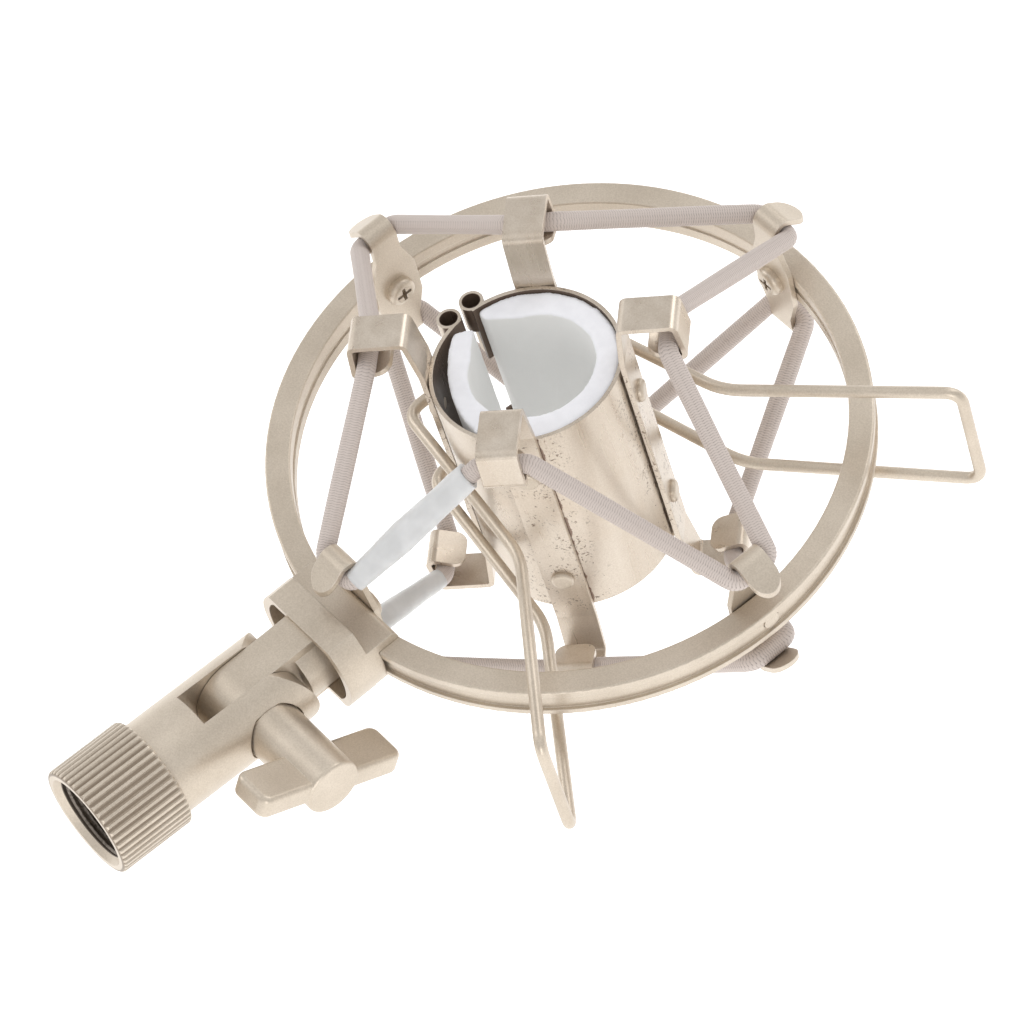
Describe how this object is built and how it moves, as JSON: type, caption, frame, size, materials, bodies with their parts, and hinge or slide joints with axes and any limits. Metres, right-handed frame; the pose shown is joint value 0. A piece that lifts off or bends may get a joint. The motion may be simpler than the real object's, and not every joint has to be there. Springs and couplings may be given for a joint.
{
  "type": "microphone shock mount",
  "caption": "Ring-shaped elastic suspension holder for a slim microphone: a split sleeve with foam pads and wire squeeze handles, hung on cords, with a swivelling threaded stand adapter.",
  "frame": {"origin": "centre of the stand thread at its first full turn, just inside the collar's mouth", "axes": "+Z along the axis of the outer ring, upwards; the stem runs from the ring out along -Y to the origin's collar; the wing screw points along +X"},
  "size_m": [0.1059, 0.1548, 0.0685],
  "materials": {
    "champagne_metal": "fine satin metallic paint",
    "sleeve_metal": "thin satin metallic paint with small dark specks",
    "champagne_wire": "satin metallic paint on round wire",
    "cord_braid": "fine braided cover",
    "shrink_sleeve": "milky satin plastic",
    "foam": "closed-cell foam"
  },
  "bodies": {
    "barrel": {"swivel_barrel": "champagne_metal"},
    "wing_screw": {"wing_screw": "champagne_metal"},
    "ring_frame": {"outer_ring": "champagne_metal", "ring_block": "champagne_metal", "swivel_tongue": "champagne_metal", "post_stem": "champagne_metal", "post_right": "champagne_metal", "post_far": "champagne_metal", "post_left": "champagne_metal", "post_screw_stem": "champagne_metal", "post_screw_right": "champagne_metal", "post_screw_far": "champagne_metal", "post_screw_left": "champagne_metal", "cord_upper": "cord_braid", "cord_lower": "cord_braid", "cord_sleeve_upper": "shrink_sleeve", "cord_sleeve_lower": "shrink_sleeve"},
    "cage": {"sleeve": "sleeve_metal", "hook_strip_front": "champagne_metal", "hook_strip_right": "champagne_metal", "hook_strip_back": "champagne_metal", "hook_strip_left": "champagne_metal", "rivet_front_upper": "champagne_metal", "rivet_front_lower": "champagne_metal", "rivet_right_upper": "champagne_metal", "rivet_right_lower": "champagne_metal", "rivet_back_upper": "champagne_metal", "rivet_back_lower": "champagne_metal", "rivet_left_upper": "champagne_metal", "rivet_left_lower": "champagne_metal", "foam_pad_large": "foam", "foam_pad_small": "foam"},
    "handle_south": {"wire_handle_south": "champagne_wire"},
    "handle_north": {"wire_handle_north": "champagne_wire"}
  },
  "joints": [
    {"name": "swivel_tilt", "type": "hinge", "parent": "barrel", "child": "ring_frame", "pos_m": [0, 0.03127, -0.00147], "axis": [1, 0, 0], "range_deg": [-90, 85]},
    {"name": "wing_turn", "type": "hinge", "parent": "barrel", "child": "wing_screw", "pos_m": [0, 0.03127, -0.00147], "axis": [1, 0, 0], "range_deg": [0, 540]},
    {"name": "cage_bounce", "type": "slide", "parent": "ring_frame", "child": "cage", "axis": [0, 0, 1], "range_m": [-0.004, 0.002], "stiffness_N_per_m": 900, "deforming": ["cord_upper", "cord_sleeve_upper", "cord_lower", "cord_sleeve_lower"]},
    {"name": "south_squeeze", "type": "hinge", "parent": "cage", "child": "handle_south", "pos_m": [-0.01802, 0.09537, -0.0031], "axis": [-0.0948, 0, 0.9955], "range_deg": [-8, 2], "stiffness_Nm_per_rad": 0.05},
    {"name": "north_squeeze", "type": "hinge", "parent": "cage", "child": "handle_north", "pos_m": [-0.01802, 0.10017, -0.0031], "axis": [-0.0948, 0, 0.9955], "range_deg": [-2, 8], "stiffness_Nm_per_rad": 0.05}
  ]
}
